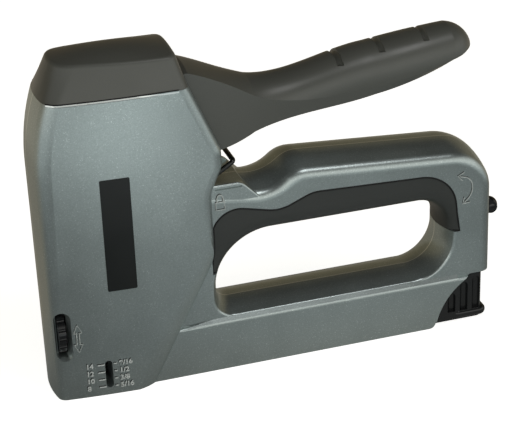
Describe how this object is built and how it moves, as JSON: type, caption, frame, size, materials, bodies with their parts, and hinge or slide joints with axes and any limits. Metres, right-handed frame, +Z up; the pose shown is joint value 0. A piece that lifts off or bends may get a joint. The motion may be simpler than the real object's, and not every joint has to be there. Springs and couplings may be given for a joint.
{
  "type": "hand staple gun",
  "caption": "Hand-squeezed staple gun: die-cast body with a finger hole, long lever over the grip, thumb wheel at the nose and a pull-out magazine under the body.",
  "frame": {"origin": "on the flat base, under the middle of the tool's box", "axes": "+Z up from the base, nose towards -X, lever and magazine pull towards +X, wheel side on -Y"},
  "size_m": [0.214, 0.0402, 0.1545],
  "materials": {
    "die_cast": "metallic grey paint on die-cast aluminium",
    "cover_plastic": "satin, fine grain",
    "soft_grip": "matte",
    "black_plastic": "satin",
    "steel": "zinc plated",
    "spring_steel": "oiled",
    "bronze": "sintered",
    "bumper_rubber": "matte",
    "black_wire": "black coated wire",
    "black_screw": "black oxide"
  },
  "bodies": {
    "housing": {"left_housing": "die_cast", "right_housing": "die_cast", "grip_insert": "soft_grip", "top_cap": "cover_plastic", "lever_pivot_pin": "steel", "main_spring": "spring_steel", "spring_seat": "steel", "bumper": "bumper_rubber", "nose_plate": "steel", "magazine_channel": "steel", "latch_pin": "steel", "housing_screws": "black_screw"},
    "lever": {"squeeze_lever": "cover_plastic", "lever_core": "steel", "lever_bush": "bronze", "lift_pin": "steel", "lift_roller": "steel", "lever_return_spring": "spring_steel"},
    "striker": {"hammer": "steel", "driver_blade": "steel", "blade_rivets": "steel"},
    "bail": {"lock_bail": "black_wire"},
    "wheel": {"power_wheel": "black_plastic", "power_cam": "steel"},
    "magazine": {"staple_rail": "steel", "rail_nose_block": "steel", "follower_rod": "steel", "follower_spring": "spring_steel", "magazine_end_cap": "black_plastic", "end_cap_pin": "steel"},
    "follower": {"follower": "black_plastic"},
    "latch": {"magazine_latch": "black_plastic"}
  },
  "joints": [
    {"name": "lever_squeeze", "type": "hinge", "parent": "housing", "child": "lever", "pos_m": [-0.0442, 0, 0.117], "axis": [0, 1, 0], "range_deg": [0, 16], "stiffness_Nm_per_rad": 6, "springref_deg": -5.73},
    {"name": "striker_lift", "type": "slide", "parent": "housing", "child": "striker", "axis": [0, 0, 1], "range_m": [0, 0.0136], "deforming": ["main_spring"]},
    {"name": "bail_swing", "type": "hinge", "parent": "housing", "child": "bail", "pos_m": [-0.034, 0, 0.0905], "axis": [0, 1, 0], "range_deg": [0, 28]},
    {"name": "power_turn", "type": "hinge", "parent": "housing", "child": "wheel", "pos_m": [-0.1016, -0.0074, 0.0313], "axis": [-1, 0, 0], "range_deg": [0, 100]},
    {"name": "magazine_slide", "type": "slide", "parent": "housing", "child": "magazine", "axis": [1, 0, 0], "range_m": [0, 0.11]},
    {"name": "follower_slide", "type": "slide", "parent": "magazine", "child": "follower", "axis": [1, 0, 0], "range_m": [0, 0.095], "stiffness_N_per_m": 60, "springref_m": -0.03, "deforming": ["follower_spring"]},
    {"name": "latch_turn", "type": "hinge", "parent": "housing", "child": "latch", "pos_m": [0.0925, 0, 0.058], "axis": [0, 1, 0], "range_deg": [0, 14], "stiffness_Nm_per_rad": 0.3, "springref_deg": -5.73}
  ],
  "couplings": [
    {"joint": "striker_lift", "follows": "lever_squeeze", "m_per_rad": 0.048512}
  ]
}
